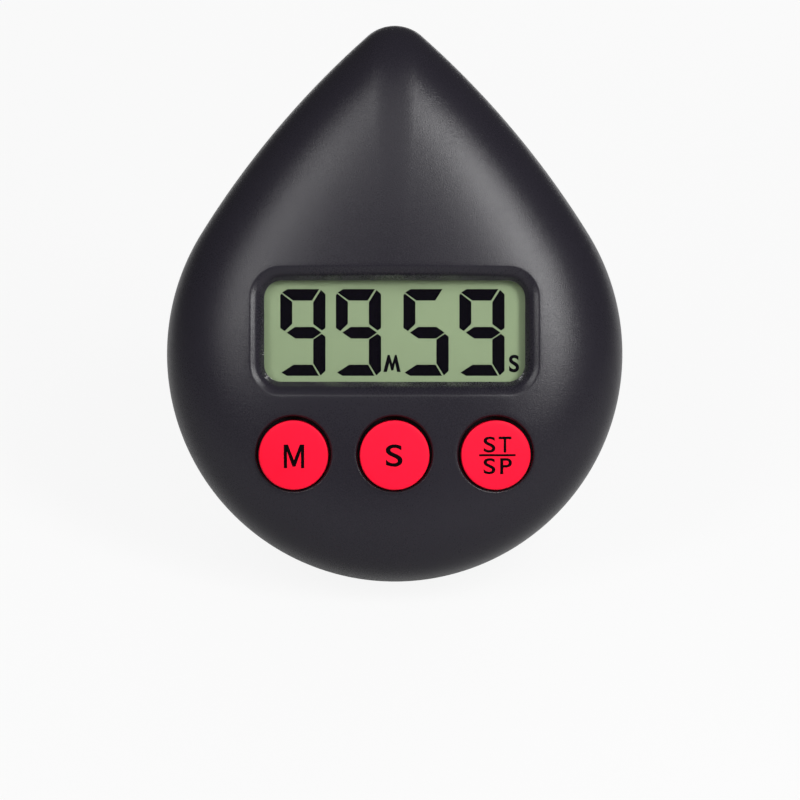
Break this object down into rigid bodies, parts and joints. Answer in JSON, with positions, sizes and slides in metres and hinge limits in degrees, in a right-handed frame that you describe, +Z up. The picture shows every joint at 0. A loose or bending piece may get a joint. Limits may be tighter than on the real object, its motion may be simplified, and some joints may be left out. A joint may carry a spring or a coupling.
{
  "type": "digital timer",
  "caption": "Drop-shaped digital countdown timer with a sunk display window, round push keys, back magnets, a coin-cell door and a fold-out leg, standing open on a table.",
  "frame": {"origin": "middle of the timer's footprint box on the table, with the leg open", "axes": "+Z up from the table, -Y towards the person who reads the display, +X to that person's right"},
  "size_m": [0.0672, 0.0484, 0.0778],
  "materials": {
    "casing": "black, fine matt spark-eroded texture",
    "window": "clear polished acrylic",
    "display": "grey-green reflective liquid crystal display",
    "white_plastic": "white moulding",
    "contact_rubber": "striped conductive rubber",
    "board": "green solder mask on glass-fibre laminate",
    "epoxy": "black epoxy drop",
    "crystal_can": "drawn metal can",
    "silicone": "translucent white silicone",
    "key": "red, satin, with a printed legend",
    "carbon": "carbon-loaded rubber",
    "cell": null,
    "contact": "nickel-plated spring steel",
    "magnet": "nickel-plated magnet disc",
    "sounder_brass": "thin brass plate",
    "sounder_ceramic": "silvered piezo ceramic",
    "red_wire": "insulated wire",
    "black_wire": "insulated wire",
    "screw": "zinc-plated, cross recess"
  },
  "bodies": {
    "case": {"front_case": "casing", "rear_case": "casing", "display_window": "window", "display_glass": "display", "display_holder": "white_plastic", "contact_strip": "contact_rubber", "circuit_board": "board", "chip_epoxy": "epoxy", "timing_crystal": "crystal_can", "key_mat": "silicone", "coin_cell": "cell", "positive_contact": "contact", "negative_contact": "contact", "left_magnet": "magnet", "right_magnet": "magnet", "sounder_plate": "sounder_brass", "sounder_ceramic": "sounder_ceramic", "red_wire": "red_wire", "black_wire": "black_wire", "case_screw_1": "screw", "case_screw_2": "screw", "case_screw_3": "screw", "board_screw_1": "screw", "board_screw_2": "screw", "board_screw_3": "screw", "board_screw_4": "screw"},
    "minute_button": {"minute_key": "key", "minute_pill": "carbon"},
    "second_button": {"second_key": "key", "second_pill": "carbon"},
    "start_button": {"start_key": "key", "start_pill": "carbon"},
    "door": {"battery_door": "casing"},
    "leg": {"stand_leg": "casing"}
  },
  "joints": [
    {"name": "minute_press", "type": "slide", "parent": "case", "child": "minute_button", "axis": [0, 0.9089, -0.417], "range_m": [0, 0.001], "stiffness_N_per_m": 900, "springref_m": -0.0006, "deforming": ["key_mat"]},
    {"name": "second_press", "type": "slide", "parent": "case", "child": "second_button", "axis": [0, 0.9089, -0.417], "range_m": [0, 0.001], "stiffness_N_per_m": 900, "springref_m": -0.0006, "deforming": ["key_mat"]},
    {"name": "start_press", "type": "slide", "parent": "case", "child": "start_button", "axis": [0, 0.9089, -0.417], "range_m": [0, 0.001], "stiffness_N_per_m": 900, "springref_m": -0.0006, "deforming": ["key_mat"]},
    {"name": "door_turn", "type": "hinge", "parent": "case", "child": "door", "pos_m": [0, 0.00086, 0.02122], "axis": [0, 0.9089, -0.417], "range_deg": [0, 45]},
    {"name": "leg_fold", "type": "hinge", "parent": "case", "child": "leg", "pos_m": [0, 0.01019, 0.03784], "axis": [1, 0, 0], "range_deg": [-38.6, 0]}
  ]
}
